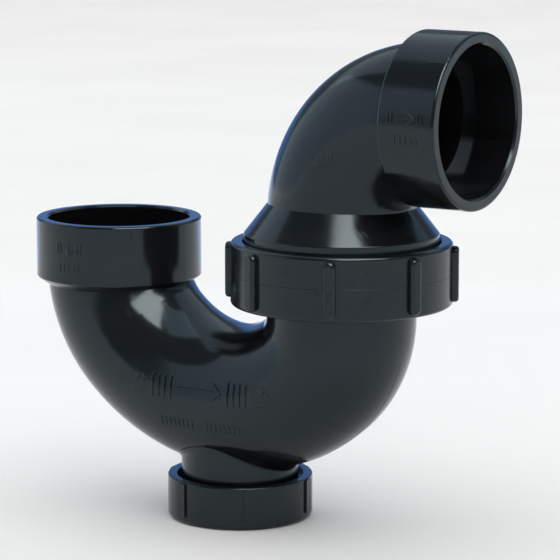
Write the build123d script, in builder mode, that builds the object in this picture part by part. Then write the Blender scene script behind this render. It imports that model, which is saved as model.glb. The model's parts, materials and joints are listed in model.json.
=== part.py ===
"""A drain P-trap for 1-1/2 inch solvent-weld pipe, moulded in black ABS, with a union joint and a clean-out.

Frame: the origin is the centre of the clean-out cap's flat bottom face, where the trap stands. +Z is up,
along the inlet's axis. +X runs from the inlet leg to the union leg and on out of the outlet. The trap is
symmetric about the XZ plane, apart from its threads and ribs. All sizes are in millimetres.
"""

import math
import os

from build123d import *

# Pipe sockets, by the drain-waste-vent pattern for pipe of 48.3 outside diameter.
SOCKET_R = 24.28  # the bore that the pipe slides into
SOCKET_DEPTH = 17.5
HUB_R = 28.25  # outside of both hubs
HUB_LENGTH = 20.1
HUB_EDGE = 0.8  # rounding of a hub's outer edge at the mouth
HUB_LEAD_IN = 0.7  # chamfer inside the mouth
SHOULDER_LENGTH = 2.7  # cone that takes a hub down to its tube
CONE_OVERRUN = 2.0  # how far a cone's side goes on into its tube, measured across the axis

# The trap bend: two compound quarter bends that meet at the lowest point, above the clean-out.
TUBE_R = 24.6
BORE_R = 20.45
INLET_X = -50.4
INLET_TOP = 97.9
UNION_X = 40.4
BEND_Z = 40.7  # height of the centre line at its lowest point
INLET_BEND_TOP = 82.5  # height where the inlet leg starts to bend
INLET_TIGHT_R = 36.0  # bend radius beside the inlet leg
UNION_BEND_TOP = 71.8  # height where the union leg is straight again
UNION_TIGHT_R = 25.4  # bend radius beside the union leg

# Clean-out: a threaded neck under the bend, closed by a washer and a cap.
NECK_R = 19.8
NECK_BORE_R = 16.0
NECK_FILLET = 2.0
CAP_R = 24.4
CAP_TOP = 14.5
CAP_FLOOR = 3.0  # thickness of the cap's closed bottom
CAP_BORE_R = 21.25
CAP_EDGE = 1.6  # rounding around the bottom
CAP_TOP_EDGE = 0.5
CAP_WASHER_R = 19.9
CAP_WASHER_BORE_R = 15.6
CAP_WASHER_THICK = 2.0
CAP_RIBS = 6
CAP_RIB_WIDTH = 4.0
CAP_RIB_LENGTH = 11.4
CAP_RIB_PROUD = 0.6
CAP_RIB_TURN = 12.0  # degrees from +X to the first rib

# Union: threaded collar on the trap bend, flat washer, flange of the elbow, and the nut around them.
COLLAR_R = 32.95
COLLAR_TOP = 88.4
COLLAR_BOTTOM = 79.2
COLLAR_BORE_R = 28.2
COLLAR_LAND = 3.0  # straight bore at the collar's mouth
CONE_BELOW_COLLAR = 4.2  # height of the cone between the tube and the collar
UNION_WASHER_R = 32.9
UNION_WASHER_THICK = 2.4
FLANGE_R = 33.0
FLANGE_THICK = 3.45
NUT_R = 36.3
NUT_BOTTOM = 76.5
NUT_TOP = 97.3
NUT_BORE_R = 34.45
NUT_HOLE_R = 32.3  # the hole that the elbow's neck comes up through
NUT_LIP = 3.0  # thickness of the inward lip at the nut's top
NUT_EDGE = 1.2  # rounding of the outer edges
NUT_RIBS = 8
NUT_RIB_WIDTH = 4.2
NUT_RIB_LENGTH = 18.5
NUT_RIB_PROUD = 2.0
NUT_RIB_TURN = -18.5  # degrees from +X to the first rib
RIB_EDGE = 1.2  # rounding of a nut rib's outer edge
RIB_ROOT = 1.0  # how far a rib is sunk into its wall

# Threads: right-handed ridges of one pitch, each starting on the +X side of its axis.
PITCH = 3.175
OUTER_TURNS = 2.0
OUTER_RIDGE = (1.9, 0.9)  # width at the root and at the crest
INNER_TURNS = 1.5
INNER_RIDGE = (1.7, 0.9)
RIDGE_ROOT = 0.3  # how far a ridge is sunk into its wall
COLLAR_CREST_R = 34.2
COLLAR_THREAD_Z = 80.6
NUT_CREST_R = 33.2
NECK_CREST_R = 21.0
NECK_THREAD_Z = 6.6
CAP_CREST_R = 20.05

# Outlet elbow: neck through the nut, cone, quarter bend, and a socket hub that faces +X.
ELBOW_R = 24.3
ELBOW_BORE_R = 20.2
ELBOW_BEND_R = 33.75
ELBOW_BEND_START = 105.3  # height where the bend starts
CONE_R = 31.9  # of the neck and of the cone's foot
CONE_EDGE = 0.6
CONE_BOTTOM = 99.8
CONE_TOP = 109.5
FUNNEL_BOTTOM = 98.9  # inside the cone
FUNNEL_TOP = 108.6
OUTLET_RUN = 17.15  # from the end of the bend to the mouth

NECK_BOTTOM = CAP_FLOOR + CAP_WASHER_THICK
FLANGE_BOTTOM = COLLAR_TOP + UNION_WASHER_THICK
OUTLET_X = UNION_X + ELBOW_BEND_R + OUTLET_RUN
OUTLET_Z = ELBOW_BEND_START + ELBOW_BEND_R

# Half planes: local x is the distance from an axis, local y the distance along it.
CLEANOUT = Plane(origin=(0, 0, 0), x_dir=(1, 0, 0), z_dir=(0, -1, 0))
INLET = Plane(origin=(INLET_X, 0, INLET_TOP), x_dir=(1, 0, 0), z_dir=(0, -1, 0))
UNION = Plane(origin=(UNION_X, 0, 0), x_dir=(1, 0, 0), z_dir=(0, -1, 0))
OUTLET = Plane(origin=(OUTLET_X, 0, OUTLET_Z), x_dir=(0, 0, 1), z_dir=(0, 1, 0))


def turned(half_plane, corners, mode=Mode.ADD):
    """Revolve a closed outline about its plane's y axis. A corner is (radius, height[, rounding])."""
    with BuildSketch(half_plane) as outline:
        with BuildLine():
            points = [corner[:2] for corner in corners]
            rounding = [corner[2] if len(corner) == 3 else 0 for corner in corners]
            FilletPolyline(*points, radius=rounding, close=True)
        make_face()
    revolve(outline.sketch, axis=Axis(half_plane.origin, half_plane.y_dir), mode=mode)


def cone_end(start, end):
    """The point where a cone's side, drawn from start to end, has gone on into its tube by the overrun."""
    share = CONE_OVERRUN / abs(start[0] - end[0])
    return (end[0] + (end[0] - start[0]) * share, end[1] + (end[1] - start[1]) * share)


def hub(mouth, tube_r):
    """The outside of a pipe hub, from its mouth back to its tube."""
    end_r, end = cone_end((HUB_R, -HUB_LENGTH), (tube_r, -HUB_LENGTH - SHOULDER_LENGTH))
    side = [(HUB_R, 0, HUB_EDGE), (HUB_R, -HUB_LENGTH, HUB_EDGE)]
    turned(mouth, [(0, 0)] + side + [(end_r, end), (0, end)])


def socket(mouth):
    """The space inside a pipe hub: a short lead-in, the bore, and the stop at its bottom."""
    lead_in = [(0, 0), (SOCKET_R + HUB_LEAD_IN, 0), (SOCKET_R, -HUB_LEAD_IN)]
    turned(mouth, lead_in + [(SOCKET_R, -SOCKET_DEPTH), (0, -SOCKET_DEPTH)], mode=Mode.SUBTRACT)


def compound_bend(width, height, tight_r):
    """The tight arc's turn and the wide arc's radius that together fill a quarter of width by height."""
    half = math.atan2(height - tight_r, width - tight_r)
    turn = 90 - 2 * math.degrees(half)
    wide_r = tight_r + (width - tight_r) / math.cos(math.radians(turn))
    return turn, wide_r


def thread_ridge(axis_x, root_r, crest_r, start_z, turns, widths):
    """A helical ridge on a vertical axis, from inside the wall at root_r to the crest, inward or outward."""
    sunk_r = root_r - math.copysign(RIDGE_ROOT, crest_r - root_r)
    depth = crest_r - sunk_r
    root, crest = widths[0] / 2, widths[1] / 2
    start = Plane(origin=(axis_x + sunk_r, 0, start_z), x_dir=(1, 0, 0), z_dir=(0, -1, 0))
    with BuildPart() as ridge:
        with BuildLine():
            Helix(pitch=PITCH, height=turns * PITCH, radius=sunk_r, center=(axis_x, 0, start_z))
        with BuildSketch(start):
            with BuildLine():
                Polyline((0, -root), (depth, -crest), (depth, crest), (0, root), close=True)
            make_face()
        sweep(is_frenet=True)
    return ridge.part


def rib_planes(axis_x, wall_r, middle_z, count, first_turn):
    """Upright planes that face outward around a vertical axis, sunk into the wall by a rib's root."""
    planes = []
    for number in range(count):
        turn = math.radians(first_turn + 360 / count * number)
        out_x, out_y = math.cos(turn), math.sin(turn)
        root_r = wall_r - RIB_ROOT
        origin = (axis_x + root_r * out_x, root_r * out_y, middle_z)
        planes.append(Plane(origin=origin, x_dir=(-out_y, out_x, 0), z_dir=(out_x, out_y, 0)))
    return planes


def make_trap_bend():
    """Inlet hub, the bend itself, the clean-out neck below it and the threaded collar of the union."""
    inlet_turn, inlet_wide_r = compound_bend(-INLET_X, INLET_BEND_TOP - BEND_Z, INLET_TIGHT_R)
    union_turn, union_wide_r = compound_bend(UNION_X, UNION_BEND_TOP - BEND_Z, UNION_TIGHT_R)
    cone_bottom = COLLAR_BOTTOM - CONE_BELOW_COLLAR
    collar_thread = thread_ridge(UNION_X, COLLAR_R, COLLAR_CREST_R, COLLAR_THREAD_Z, OUTER_TURNS, OUTER_RIDGE)
    neck_thread = thread_ridge(0, NECK_R, NECK_CREST_R, NECK_THREAD_Z, OUTER_TURNS, OUTER_RIDGE)
    with BuildPart() as trap_bend:
        with BuildLine(Plane.XZ) as route:
            down = Line((INLET_X, INLET_TOP - SOCKET_DEPTH / 2), (INLET_X, INLET_BEND_TOP))
            tight = JernArc(down @ 1, down % 1, INLET_TIGHT_R, inlet_turn)
            wide = JernArc(tight @ 1, tight % 1, inlet_wide_r, 90 - inlet_turn)
            rise = JernArc(wide @ 1, wide % 1, union_wide_r, 90 - union_turn)
            upturn = JernArc(rise @ 1, rise % 1, UNION_TIGHT_R, union_turn)
            Line(upturn @ 1, (UNION_X, COLLAR_BOTTOM))
        route_start = Plane(origin=route.line @ 0, x_dir=(0, 1, 0), z_dir=route.line % 0)
        with BuildSketch(route_start):
            Circle(TUBE_R)
        sweep(path=route.line)
        with BuildSketch(Plane(origin=(0, 0, NECK_BOTTOM), x_dir=(1, 1, 0), z_dir=(0, 0, 1))):
            Circle(NECK_R)
        extrude(amount=BEND_Z - NECK_BOTTOM)
        fillet(trap_bend.edges().filter_by(GeomType.BSPLINE), NECK_FILLET)
        hub(INLET, TUBE_R)
        collar = [(0, cone_bottom), (TUBE_R, cone_bottom), (COLLAR_R, COLLAR_BOTTOM)]
        collar += [(COLLAR_R, COLLAR_TOP, HUB_EDGE), (0, COLLAR_TOP)]
        turned(UNION, collar)
        with BuildSketch(route_start):
            Circle(BORE_R)
        sweep(path=route.line, mode=Mode.SUBTRACT)
        with BuildSketch(Plane.XY.offset(NECK_BOTTOM)):
            Circle(NECK_BORE_R)
        extrude(amount=BEND_Z - NECK_BOTTOM, mode=Mode.SUBTRACT)
        socket(INLET)
        funnel = [(0, cone_bottom), (BORE_R, cone_bottom), (COLLAR_BORE_R, COLLAR_TOP - COLLAR_LAND)]
        funnel += [(COLLAR_BORE_R, COLLAR_TOP), (0, COLLAR_TOP)]
        turned(UNION, funnel, mode=Mode.SUBTRACT)
        add(collar_thread)
        add(neck_thread)
    trap_bend.part.label = "trap_bend"
    export_step(trap_bend.part, "parts/trap_bend.step")


def make_union_washer():
    """Flat rubber ring between the collar's mouth and the elbow's flange."""
    with BuildPart() as union_washer:
        with BuildSketch(Plane(origin=(UNION_X, 0, COLLAR_TOP))):
            Circle(UNION_WASHER_R)
            Circle(COLLAR_BORE_R, mode=Mode.SUBTRACT)
        extrude(amount=UNION_WASHER_THICK)
    union_washer.part.label = "union_washer"
    export_step(union_washer.part, "parts/union_washer.step")


def make_outlet_elbow():
    """Flange and neck held by the nut, a cone up to the quarter bend, and the outlet hub."""
    flange_top = FLANGE_BOTTOM + FLANGE_THICK
    with BuildPart() as outlet_elbow:
        with BuildLine(Plane.XZ) as route:
            bend = JernArc((UNION_X, ELBOW_BEND_START), (0, 1), ELBOW_BEND_R, -90)
            Line(bend @ 1, (OUTLET_X - SOCKET_DEPTH / 2, OUTLET_Z))
        route_start = Plane(origin=route.line @ 0, x_dir=(0, 1, 0), z_dir=route.line % 0)
        with BuildSketch(route_start):
            Circle(ELBOW_R)
        sweep(path=route.line)
        end_r, end_z = cone_end((CONE_R, CONE_BOTTOM), (ELBOW_R, CONE_TOP))
        cone = [(0, FLANGE_BOTTOM), (FLANGE_R, FLANGE_BOTTOM), (FLANGE_R, flange_top), (CONE_R, flange_top)]
        cone += [(CONE_R, CONE_BOTTOM, CONE_EDGE), (end_r, end_z), (0, end_z)]
        turned(UNION, cone)
        hub(OUTLET, ELBOW_R)
        with BuildSketch(route_start):
            Circle(ELBOW_BORE_R)
        sweep(path=route.line, mode=Mode.SUBTRACT)
        end_r, end_z = cone_end((COLLAR_BORE_R, FUNNEL_BOTTOM), (ELBOW_BORE_R, FUNNEL_TOP))
        funnel = [(0, FLANGE_BOTTOM), (COLLAR_BORE_R, FLANGE_BOTTOM), (COLLAR_BORE_R, FUNNEL_BOTTOM)]
        turned(UNION, funnel + [(end_r, end_z), (0, end_z)], mode=Mode.SUBTRACT)
        socket(OUTLET)
    outlet_elbow.part.label = "outlet_elbow"
    export_step(outlet_elbow.part, "parts/outlet_elbow.step")


def make_union_nut():
    """Ribbed nut with an inward lip over the elbow's flange and a thread inside."""
    lip_bottom = NUT_TOP - NUT_LIP
    middle_z = (NUT_BOTTOM + NUT_TOP) / 2
    thread_z = COLLAR_THREAD_Z + PITCH / 2
    thread = thread_ridge(UNION_X, NUT_BORE_R, NUT_CREST_R, thread_z, INNER_TURNS, INNER_RIDGE)
    with BuildPart() as union_nut:
        wall = [(NUT_BORE_R, NUT_BOTTOM), (NUT_R, NUT_BOTTOM, NUT_EDGE), (NUT_R, NUT_TOP, NUT_EDGE)]
        wall += [(NUT_HOLE_R, NUT_TOP, NUT_EDGE / 2), (NUT_HOLE_R, lip_bottom), (NUT_BORE_R, lip_bottom)]
        turned(UNION, wall)
        for rib_plane in rib_planes(UNION_X, NUT_R, middle_z, NUT_RIBS, NUT_RIB_TURN):
            with BuildSketch(rib_plane):
                SlotOverall(NUT_RIB_LENGTH, NUT_RIB_WIDTH, rotation=90)
            extrude(amount=RIB_ROOT + NUT_RIB_PROUD)
            rib_front = rib_plane.offset(RIB_ROOT + NUT_RIB_PROUD).origin
            fillet(union_nut.faces().sort_by_distance(rib_front)[0].edges(), RIB_EDGE)
        add(thread)
    union_nut.part.label = "union_nut"
    export_step(union_nut.part, "parts/union_nut.step")


def make_cleanout_washer():
    """Flat rubber ring between the cap's floor and the neck's mouth."""
    with BuildPart() as cleanout_washer:
        with BuildSketch(Plane.XY.offset(CAP_FLOOR)):
            Circle(CAP_WASHER_R)
            Circle(CAP_WASHER_BORE_R, mode=Mode.SUBTRACT)
        extrude(amount=CAP_WASHER_THICK)
    cleanout_washer.part.label = "cleanout_washer"
    export_step(cleanout_washer.part, "parts/cleanout_washer.step")


def make_cleanout_cap():
    """Cup with a flat bottom that the trap stands on, shallow ribs outside and a thread inside."""
    thread_z = NECK_THREAD_Z + PITCH / 2
    thread = thread_ridge(0, CAP_BORE_R, CAP_CREST_R, thread_z, INNER_TURNS, INNER_RIDGE)
    with BuildPart() as cleanout_cap:
        cup = [(0, 0), (CAP_R, 0, CAP_EDGE), (CAP_R, CAP_TOP, CAP_TOP_EDGE)]
        cup += [(CAP_BORE_R, CAP_TOP, CAP_TOP_EDGE), (CAP_BORE_R, CAP_FLOOR), (0, CAP_FLOOR)]
        turned(CLEANOUT, cup)
        middle_z = CAP_TOP - CAP_TOP_EDGE - CAP_RIB_LENGTH / 2
        for rib_plane in rib_planes(0, CAP_R, middle_z, CAP_RIBS, CAP_RIB_TURN):
            with BuildSketch(rib_plane):
                RectangleRounded(CAP_RIB_WIDTH, CAP_RIB_LENGTH, CAP_RIB_PROUD)
            extrude(amount=RIB_ROOT + CAP_RIB_PROUD)
        add(thread)
    cleanout_cap.part.label = "cleanout_cap"
    export_step(cleanout_cap.part, "parts/cleanout_cap.step")


os.makedirs("parts", exist_ok=True)
make_trap_bend()
make_union_washer()
make_outlet_elbow()
make_union_nut()
make_cleanout_washer()
make_cleanout_cap()
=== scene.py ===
"""Looks of a black ABS P-trap: glossy moulded plastic, mould marks and parting lines, on a pale floor."""

import json
import math

import bmesh
import bpy
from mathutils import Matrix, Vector
from mathutils.bvhtree import BVHTree


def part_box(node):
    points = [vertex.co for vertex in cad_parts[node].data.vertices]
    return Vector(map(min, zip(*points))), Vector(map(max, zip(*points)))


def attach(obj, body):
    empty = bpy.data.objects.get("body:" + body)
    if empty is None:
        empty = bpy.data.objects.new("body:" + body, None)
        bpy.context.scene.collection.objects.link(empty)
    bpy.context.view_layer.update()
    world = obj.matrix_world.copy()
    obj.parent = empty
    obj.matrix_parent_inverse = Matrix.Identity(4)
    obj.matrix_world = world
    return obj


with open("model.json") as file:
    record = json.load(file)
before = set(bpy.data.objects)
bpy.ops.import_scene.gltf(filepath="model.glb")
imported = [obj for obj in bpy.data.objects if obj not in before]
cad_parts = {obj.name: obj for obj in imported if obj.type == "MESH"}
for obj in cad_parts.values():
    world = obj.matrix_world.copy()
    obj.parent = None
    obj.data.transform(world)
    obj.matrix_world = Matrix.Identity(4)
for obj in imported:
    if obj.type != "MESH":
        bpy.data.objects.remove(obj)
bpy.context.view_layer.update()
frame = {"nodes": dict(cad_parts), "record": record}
MM = 0.001

# Places read from the CAD model, in metres.
TRAP_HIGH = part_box("trap_bend")[1]
ELBOW_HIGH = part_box("outlet_elbow")[1]
NUT_LOW, NUT_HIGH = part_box("union_nut")
MOUNTS = {mount["name"]: Vector(mount["pos_m"]) for mount in frame["record"]["mounts"]}
INLET = Vector((MOUNTS["inlet_socket"].x, 0, TRAP_HIGH.z))
OUTLET = Vector((ELBOW_HIGH.x, 0, MOUNTS["outlet_socket"].z))
UNION = Vector(((NUT_LOW.x + NUT_HIGH.x) / 2, 0, (NUT_LOW.z + NUT_HIGH.z) / 2))

# Round inserts in the mould, either side of the clean-out, and the flash that the mould's edges leave.
# Angles are in degrees. The nut's ribs are counted from +X.
INSERT_X = 25.0 * MM
INSERT_Z = 47.2 * MM
INSERT_R = 3.3 * MM
FLASH_WIDTH = 0.3 * MM
FLASH_PROUD = 0.06 * MM
NUT_RIBS = 8
NUT_RIB_TURN = -18.5
NUT_RIB_STEP = 360 / NUT_RIBS
NUT_RIB_CLEAR = 6.0

# Far enough out for a ray to start outside the object.
OUTSIDE = 0.2
BESIDE = 0.1

# Camera: where the viewer stands, in degrees and metres, and its lens in millimetres.
VIEW_AZIMUTH = 33.9
VIEW_ELEVATION = 9.8
VIEW_DISTANCE = 0.9418
VIEW_TARGET = Vector((0.0113, 0.0073, 0.0802))
SENSOR = 36.0
LENS = 181.1

# Stage, in metres.
FLOOR_R = 2.4
COVE_R = 0.8
WALL_HEIGHT = 2.4
STAGE_SEGMENTS = 128


def heading(azimuth, elevation):
    """Unit vector from the object; azimuth is to the viewer's right of the viewer's own heading."""
    turn, rise = math.radians(VIEW_AZIMUTH + azimuth), math.radians(elevation)
    return Vector((math.sin(turn) * math.cos(rise), -math.cos(turn) * math.cos(rise), math.sin(rise)))


def link(thing):
    """Puts an object into the scene, and hands it back."""
    bpy.context.scene.collection.objects.link(thing)
    return thing


def make_camera():
    """The one camera, aimed at VIEW_TARGET."""
    lens = bpy.data.cameras.new("camera")
    lens.sensor_width = SENSOR
    lens.lens = LENS
    lens.clip_start, lens.clip_end = 0.05, 30.0
    camera = link(bpy.data.objects.new("camera", lens))
    back = heading(0, VIEW_ELEVATION)
    camera.location = VIEW_TARGET + back * VIEW_DISTANCE
    camera.rotation_euler = (-back).to_track_quat("-Z", "Y").to_euler()
    bpy.context.scene.camera = camera


def soft_light(name, azimuth, elevation, distance, width, height, radiance, colour, lights):
    """A softbox that faces the object. Its power follows from the radiance that its face should have.

    It lights either matt shading ("floor") or reflections ("gloss"), so that the floor stays even.
    """
    lamp = bpy.data.lights.new(name, "AREA")
    lamp.shape = "RECTANGLE"
    lamp.size, lamp.size_y = width, height
    lamp.energy = radiance * math.pi * width * height
    lamp.color = colour
    box = link(bpy.data.objects.new(name, lamp))
    out = heading(azimuth, elevation)
    box.location = VIEW_TARGET + out * distance
    box.rotation_euler = out.to_track_quat("Z", "Y").to_euler()
    box.visible_camera = False
    box.visible_diffuse = lights == "floor"
    box.visible_glossy = lights == "gloss"


def make_lights():
    """Softboxes all round for the plastic to reflect, two lamps for the floor, and a dim blue surround."""
    cool = (0.72, 0.90, 1.0)
    soft_light("key_softbox", 23, 51, 1.6, 1.25, 1.15, 8.6, (1.0, 0.90, 0.84), "gloss")
    soft_light("left_softbox", -100, 17, 1.5, 2.3, 1.45, 0.76, cool, "gloss")
    soft_light("right_softbox", 96, 17, 1.5, 2.0, 1.4, 0.40, (0.45, 0.76, 1.0), "gloss")
    soft_light("back_softbox", 180, 54, 1.7, 2.6, 1.5, 0.6, cool, "gloss")
    soft_light("top_softbox", 0, 88, 1.7, 1.0, 1.0, 1.05, cool, "gloss")
    soft_light("rim_softbox", 180, 4, 0.45, 0.8, 0.22, 0.55, (0.05, 0.30, 1.0), "gloss")
    soft_light("shadow_softbox", 23, 51, 1.6, 1.25, 1.15, 1.8, (1.0, 0.98, 0.95), "floor")
    soft_light("floor_softbox", 0, 90, 4.0, 8.0, 8.0, 1.36, (1.0, 0.98, 0.95), "floor")
    world = bpy.data.worlds.new("studio")
    world.use_nodes = True
    background = world.node_tree.nodes["Background"]
    background.inputs["Color"].default_value = (0.72, 0.87, 1.0, 1.0)
    background.inputs["Strength"].default_value = 0.2
    bpy.context.scene.world = world
    bpy.context.scene.view_settings.view_transform = "Standard"


class Shader:
    """A material's node tree, built one node at a time."""

    def __init__(self, name):
        self.material = bpy.data.materials.new(name)
        self.material.use_nodes = True
        self.tree = self.material.node_tree
        self.surface = self.tree.nodes["Principled BSDF"]

    def node(self, kind, values=None, **inputs):
        """Adds a node, sets its properties from values, and links or sets its inputs by name."""
        made = self.tree.nodes.new(kind)
        for key, value in (values or {}).items():
            setattr(made, key, value)
        for key, value in inputs.items():
            socket = made.inputs[key.replace("_", " ")]
            if isinstance(value, bpy.types.NodeSocket):
                self.tree.links.new(value, socket)
            else:
                socket.default_value = value
        return made

    def noise(self, scale, detail, place, roughness=0.5):
        """A noise value at a place."""
        made = self.node("ShaderNodeTexNoise", Scale=scale, Detail=detail, Roughness=roughness, Vector=place)
        return made.outputs["Fac"]

    def ramp(self, value, low, high, from_low=0.35, from_high=0.65):
        """Stretches a noise value onto low..high."""
        made = self.node("ShaderNodeMapRange", Value=value, To_Min=low, To_Max=high)
        made.inputs["From Min"].default_value = from_low
        made.inputs["From Max"].default_value = from_high
        return made.outputs["Result"]

    def set(self, **inputs):
        """Links or sets the surface's own inputs by name."""
        for key, value in inputs.items():
            socket = self.surface.inputs[key.replace("_", " ")]
            if isinstance(value, bpy.types.NodeSocket):
                self.tree.links.new(value, socket)
            else:
                socket.default_value = value


def moulded_abs(name, dark, light, polish, grain):
    """Black ABS from a polished mould: flow streaks, orange peel, hairline scratches and handling haze."""
    shader = Shader(name)
    place = shader.node("ShaderNodeTexCoord").outputs["Object"]
    streaks = shader.node("ShaderNodeMapping", Vector=place, Scale=(14, 14, 90)).outputs["Vector"]
    flow = shader.noise(1.0, 3, streaks, 0.6)
    haze = shader.noise(38, 5, place, 0.6)
    tone = shader.node("ShaderNodeMix", {"data_type": "RGBA"}, Factor=shader.ramp(flow, 0, 1))
    tone.inputs["A"].default_value = (*dark, 1)
    tone.inputs["B"].default_value = (*light, 1)
    slant, stretch = (0.4, 0.9, 0.3), (30, 700, 160)
    scratch_place = shader.node("ShaderNodeMapping", Vector=place, Rotation=slant, Scale=stretch)
    scratches = shader.noise(1.0, 2, scratch_place.outputs["Vector"], 0.4)
    hairlines = shader.ramp(scratches, 0, 0.1, 0.66, 0.72)
    smudge = shader.ramp(haze, polish * 0.82, polish * 1.25)
    rough = shader.node("ShaderNodeMath", {"operation": "ADD"})
    shader.tree.links.new(smudge, rough.inputs[0])
    shader.tree.links.new(hairlines, rough.inputs[1])
    peel = shader.noise(260, 2, place)
    fine = shader.noise(2600, 3, place, 0.6)
    wavy = shader.node("ShaderNodeBump", Height=peel, Strength=0.5, Distance=0.03 * MM).outputs["Normal"]
    grainy = shader.node("ShaderNodeBump", Height=fine, Strength=0.5, Distance=grain * MM, Normal=wavy)
    inverted = {"invert": True}
    scored = shader.node("ShaderNodeBump", inverted, Height=hairlines, Strength=0.3, Distance=0.01 * MM)
    shader.tree.links.new(grainy.outputs["Normal"], scored.inputs["Normal"])
    shader.set(Base_Color=tone.outputs["Result"], Roughness=rough.outputs["Value"])
    shader.set(Normal=scored.outputs["Normal"], IOR=1.47, Specular_Tint=(0.70, 0.90, 1.0, 1.0))
    return shader.material


def seal_rubber():
    """Matt black rubber with a fine bloom."""
    shader = Shader("seal_rubber")
    place = shader.node("ShaderNodeTexCoord").outputs["Object"]
    bloom = shader.noise(120, 4, place, 0.7)
    tone = shader.node("ShaderNodeMix", {"data_type": "RGBA"}, Factor=shader.ramp(bloom, 0, 1))
    tone.inputs["A"].default_value = (0.010, 0.010, 0.010, 1)
    tone.inputs["B"].default_value = (0.024, 0.024, 0.023, 1)
    fine = shader.noise(3000, 2, place)
    bump = shader.node("ShaderNodeBump", Height=fine, Strength=0.6, Distance=0.02 * MM)
    shader.set(Base_Color=tone.outputs["Result"], Roughness=shader.ramp(bloom, 0.6, 0.75))
    shader.set(Normal=bump.outputs["Normal"])
    return shader.material


def pale_floor():
    """Matt pale sheet with the least of mottling."""
    shader = Shader("pale_floor")
    place = shader.node("ShaderNodeTexCoord").outputs["Object"]
    mottle = shader.noise(6, 4, place)
    tone = shader.node("ShaderNodeMix", {"data_type": "RGBA"}, Factor=shader.ramp(mottle, 0, 1))
    tone.inputs["A"].default_value = (0.80, 0.80, 0.80, 1)
    tone.inputs["B"].default_value = (0.83, 0.83, 0.83, 1)
    shader.set(Base_Color=tone.outputs["Result"], Roughness=0.85)
    return shader.material


def mesh_object(name, mesh, material, smooth=True):
    """Turns a bmesh into a linked object of one material."""
    data = bpy.data.meshes.new(name)
    mesh.to_mesh(data)
    mesh.free()
    data.materials.append(material)
    for face in data.polygons:
        face.use_smooth = smooth
    return link(bpy.data.objects.new(name, data))


def make_floor():
    """A round floor that turns up into a wall far behind the object, seen from every side."""
    material = pale_floor()
    floor = bmesh.new()
    bmesh.ops.create_circle(floor, cap_ends=True, segments=STAGE_SEGMENTS, radius=FLOOR_R)
    mesh_object("floor", floor, material, smooth=False)
    cove = bmesh.new()
    turns = [math.radians(10 * i) for i in range(10)]
    profile = [Vector((FLOOR_R + COVE_R * math.sin(t), 0, COVE_R * (1 - math.cos(t)))) for t in turns]
    profile.append(Vector((FLOOR_R + COVE_R, 0, WALL_HEIGHT)))
    points = [cove.verts.new(p) for p in profile]
    edges = [cove.edges.new(pair) for pair in zip(points, points[1:])]
    up, middle = (0, 0, 1), (0, 0, 0)
    bmesh.ops.spin(cove, geom=points + edges, axis=up, cent=middle, angle=math.tau, steps=STAGE_SEGMENTS)
    bmesh.ops.remove_doubles(cove, verts=cove.verts, dist=0.0001)
    wall = mesh_object("backdrop", cove, material)
    wall.visible_glossy = False


def surface_of(node):
    """A CAD node's surface, ready for rays."""
    mesh = frame["nodes"][node].data
    return BVHTree.FromPolygons([v.co for v in mesh.vertices], [p.vertices for p in mesh.polygons])


def landed(surface, origin, direction):
    """Where a ray first meets a surface, and the surface's normal there, facing the ray."""
    place, normal, _, _ = surface.ray_cast(origin, direction)
    if place is None:
        raise RuntimeError(f"a mark's ray from {tuple(origin)} misses its piece")
    if normal.dot(direction) > 0:
        normal = -normal
    return place, normal


def add_ridge(mesh, track, width, proud, closed=False):
    """A raised bead along a track of (point, normal): sunk foot, sloping sides, and a rounded top."""
    section = ((-0.5, -0.6), (-0.46, 0.35), (-0.28, 0.9), (0.0, 1.0), (0.28, 0.9), (0.46, 0.35), (0.5, -0.6))
    rings = []
    count = len(track)
    for i, (place, normal) in enumerate(track):
        before = track[i - 1][0] if i or closed else place
        after = track[(i + 1) % count][0] if i + 1 < count or closed else place
        side = normal.cross(after - before).normalized()
        rings.append([mesh.verts.new(place + side * (u * width) + normal * (v * proud)) for u, v in section])
    spans = count if closed else count - 1
    for i in range(spans):
        here, there = rings[i], rings[(i + 1) % count]
        for j in range(len(section)):
            k = (j + 1) % len(section)
            mesh.faces.new((here[j], there[j], there[k], here[k]))
    if not closed:
        mesh.faces.new(rings[0])
        mesh.faces.new(tuple(reversed(rings[-1])))


def finished_marks(name, mesh, node):
    """Closes off a set of marks, which ride and shine as the moulding that they stand on."""
    bmesh.ops.recalc_face_normals(mesh, faces=mesh.faces)
    slot = SLOTS[node]
    marks = mesh_object(name, mesh, MATERIALS[slot])
    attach(marks, BODIES[node])


def stepped(start, end, step=0.4 * MM):
    """Points along a straight stroke, close enough together to follow a curved wall."""
    count = max(2, math.ceil((end - start).length / step))
    return [start.lerp(end, i / count) for i in range(count + 1)]


def ring_points(centre, radius, count=40):
    """Points round a circle in the XZ plane."""
    return [
        centre + Vector((math.cos(2 * math.pi * i / count), 0, math.sin(2 * math.pi * i / count))) * radius
        for i in range(count)
    ]


def side_track(surface, points, side):
    """Drops points of the XZ plane onto the wall that faces -Y (side -1) or +Y (side 1)."""
    return [landed(surface, Vector((p.x, side * OUTSIDE, p.z)), Vector((0, -side, 0))) for p in points]


def arrow_strokes(tip, along, length, head):
    """A plain arrow: shaft and two barbs."""
    across = Vector((-along.z, 0, along.x))
    tail = tip - along * length
    return [
        stepped(tail, tip),
        stepped(tip - along * head + across * head * 0.8, tip),
        stepped(tip - along * head - across * head * 0.8, tip),
    ]


def bar_strokes(first, step, bar, count):
    """A row of equal short bars, as on a lot-code insert."""
    return [stepped(first + step * i, first + step * i + bar) for i in range(count)]


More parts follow.
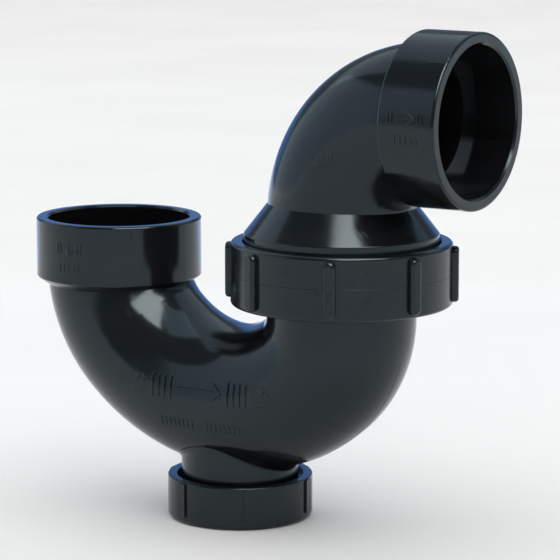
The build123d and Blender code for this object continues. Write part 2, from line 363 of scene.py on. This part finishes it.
def side_marks(name, node, strokes, rings=(), width=0.62 * MM, proud=0.30 * MM):
    """The same raised marks on both sides of a moulding."""
    surface = surface_of(node)
    mesh = bmesh.new()
    for side in (-1, 1):
        for stroke in strokes:
            add_ridge(mesh, side_track(surface, stroke, side), width, proud)
        for ring in rings:
            add_ridge(mesh, side_track(surface, ring, side), 0.35 * MM, 0.14 * MM, closed=True)
    finished_marks(name, mesh, node)


def make_hub_marks():
    """On each hub, a flow arrow between two pairs of bars, and a row of size bars below it."""
    down, out = Vector((0, 0, -1)), Vector((1, 0, 0))
    inlet = arrow_strokes(INLET + down * 10.6 * MM, down, 5.4 * MM, 2.0 * MM)
    for first in (-4.8, 3.4):
        inlet += bar_strokes(INLET + Vector((first, 0, -6.0)) * MM, out * 1.4 * MM, down * 3.8 * MM, 2)
    inlet += bar_strokes(INLET + Vector((-3.9, 0, -13.2)) * MM, out * 1.95 * MM, down * 2.8 * MM, 5)
    side_marks("inlet_hub_marks", "trap_bend", inlet)
    outlet = arrow_strokes(OUTLET + Vector((-7.2, 0, 3.2)) * MM, out, 6.0 * MM, 2.4 * MM)
    for first in (-16.3, -5.6):
        outlet += bar_strokes(OUTLET + Vector((first, 0, 5.1)) * MM, out * 1.4 * MM, down * 3.8 * MM, 2)
    outlet += bar_strokes(OUTLET + Vector((-14.0, 0, -2.0)) * MM, out * 1.95 * MM, down * 2.8 * MM, 5)
    side_marks("outlet_hub_marks", "outlet_elbow", outlet)


def make_belly_marks():
    """A bold flow arrow between upright bars, two rows of lot-code bars, and two inserts with a pointer."""
    down, out = Vector((0, 0, -1)), Vector((1, 0, 0))
    rings, pointers = [], []
    for x in (-INSERT_X, INSERT_X):
        centre = Vector((x, 0, INSERT_Z))
        rings.append(ring_points(centre, INSERT_R))
        pointers.append(stepped(centre, centre + Vector((0.5, 0, 0.8)) * INSERT_R * 0.8))
    bold = arrow_strokes(Vector((8.6, 0, 46.6)) * MM, out, 17.0 * MM, 3.4 * MM)
    for first in (-18.6, 11.6):
        bold += bar_strokes(Vector((first, 0, 50.6)) * MM, out * 2.4 * MM, down * 7.8 * MM, 4)
    side_marks("belly_flow_marks", "trap_bend", bold, width=0.9 * MM, proud=0.42 * MM)
    for first in (-15.5, 2.9):
        pointers += bar_strokes(Vector((first, 0, 36.2)) * MM, out * 1.8 * MM, down * 2.6 * MM, 8)
    side_marks("belly_lot_marks", "trap_bend", pointers, rings)


def make_elbow_marks():
    """A round insert with a short witness line beside it."""
    centre = OUTLET + Vector((-43.4, 0, -11.9)) * MM
    beside = centre + Vector((4.1, 0, 0)) * MM
    witness = [stepped(beside + Vector((0, 0, 1.9)) * MM, beside - Vector((0, 0, 0.6)) * MM)]
    side_marks("elbow_marks", "outlet_elbow", witness, [ring_points(centre, 3.0 * MM)])


def radial_track(surface, axis_point, out, steps):
    """Drops points onto a round wall: each step is added to a point far out from the axis, and aimed back."""
    return [landed(surface, axis_point + out * BESIDE + step, -out) for step in steps]


def make_witness_lines():
    """One short line at each hub's mouth, an eighth of a turn from the side marks."""
    eighth = math.sqrt(0.5)
    lines = (
        ("inlet_witness", "trap_bend", INLET, Vector((eighth, -eighth, 0)), Vector((0, 0, -1)), 3.6),
        ("outlet_witness", "outlet_elbow", OUTLET, Vector((0, -eighth, eighth)), Vector((-1, 0, 0)), 5.4),
    )
    for name, node, mouth, out, inward, length in lines:
        mesh = bmesh.new()
        steps = stepped(inward * 1.1 * MM, inward * (1.1 + length) * MM)
        add_ridge(mesh, radial_track(surface_of(node), mouth, out, steps), 0.6 * MM, 0.34 * MM)
        finished_marks(name, mesh, node)


def fan(centre, first, last, count):
    """Directions in the XZ plane from one angle to another, each with a point far out along it."""
    for i in range(count + 1):
        turn = math.radians(first + (last - first) * i / count)
        out = Vector((math.cos(turn), 0, math.sin(turn)))
        yield centre + out * OUTSIDE, out


def make_parting_lines():
    """Hairline flash where the mould halves met, in the XZ plane."""
    bend_centre = Vector((-5, 0.01, 86)) * MM
    elbow_centre = OUTLET + Vector((-17.15, 0.01, -33.75)) * MM
    lines = (
        ("trap_bend", bend_centre, ((190, 244), (297, 338)), ((209, 322),)),
        ("outlet_elbow", elbow_centre, ((170, 99),), ((168, 104),)),
    )
    for node, centre, outside, inside in lines:
        surface = surface_of(node)
        mesh = bmesh.new()
        for first, last in outside:
            track = [landed(surface, far, -out) for far, out in fan(centre, first, last, 90)]
            add_ridge(mesh, track, FLASH_WIDTH, FLASH_PROUD)
        for first, last in inside:
            track = [landed(surface, centre, out) for _, out in fan(centre, first, last, 90)]
            add_ridge(mesh, track, FLASH_WIDTH, FLASH_PROUD)
        finished_marks(node + "_parting_lines", mesh, node)


def make_nut_marks():
    """The gate's scar between two ribs, and hairline arcs around the nut at half height."""
    surface = surface_of("union_nut")
    mesh = bmesh.new()
    gate = Vector((UNION.x + 2.6 * MM, 0, NUT_HIGH.z - 5.4 * MM))
    halo = side_track(surface, ring_points(gate, 1.3 * MM, 28), -1)
    add_ridge(mesh, halo, 0.3 * MM, 0.1 * MM, closed=True)
    nub = side_track(surface, ring_points(gate, 0.35 * MM, 16), -1)
    add_ridge(mesh, nub, 0.6 * MM, 0.25 * MM, closed=True)
    for rib in range(NUT_RIBS):
        start = math.radians(NUT_RIB_TURN + NUT_RIB_STEP * rib + NUT_RIB_CLEAR)
        sweep = math.radians(NUT_RIB_STEP - 2 * NUT_RIB_CLEAR)
        track = []
        for i in range(41):
            turn = start + sweep * i / 40
            out = Vector((math.cos(turn), math.sin(turn), 0))
            track.append(landed(surface, UNION + out * BESIDE, -out))
        add_ridge(mesh, track, FLASH_WIDTH, FLASH_PROUD)
    finished_marks("nut_marks", mesh, "union_nut")


def give_looks():
    """Puts each CAD node's material into its own slots."""
    for node, slot in SLOTS.items():
        for material_slot in frame["nodes"][node].material_slots:
            material_slot.material = MATERIALS[slot]


make_camera()
make_lights()
make_floor()

# Darkest and lightest tone of the two mixes of plastic.
BODY_BLACK = ((0.0035, 0.0038, 0.0043), (0.0070, 0.0075, 0.0083))
RING_BLACK = ((0.0042, 0.0045, 0.0050), (0.0080, 0.0085, 0.0094))
MATERIALS = {
    "abs_body": moulded_abs("abs_body", *BODY_BLACK, 0.13, 0.004),
    "abs_elbow": moulded_abs("abs_elbow", *BODY_BLACK, 0.15, 0.004),
    "abs_nut": moulded_abs("abs_nut", *RING_BLACK, 0.19, 0.010),
    "abs_cap": moulded_abs("abs_cap", *RING_BLACK, 0.19, 0.010),
    "rubber_seal": seal_rubber(),
}
SLOTS = {subpart["node"]: subpart["material_slot"] for subpart in frame["record"]["subparts"]}
BODIES = {node: body for body, nodes in frame["record"]["behaviour"]["bodies"].items() for node in nodes}
give_looks()
make_hub_marks()
make_belly_marks()
make_elbow_marks()
make_witness_lines()
make_parting_lines()
make_nut_marks()
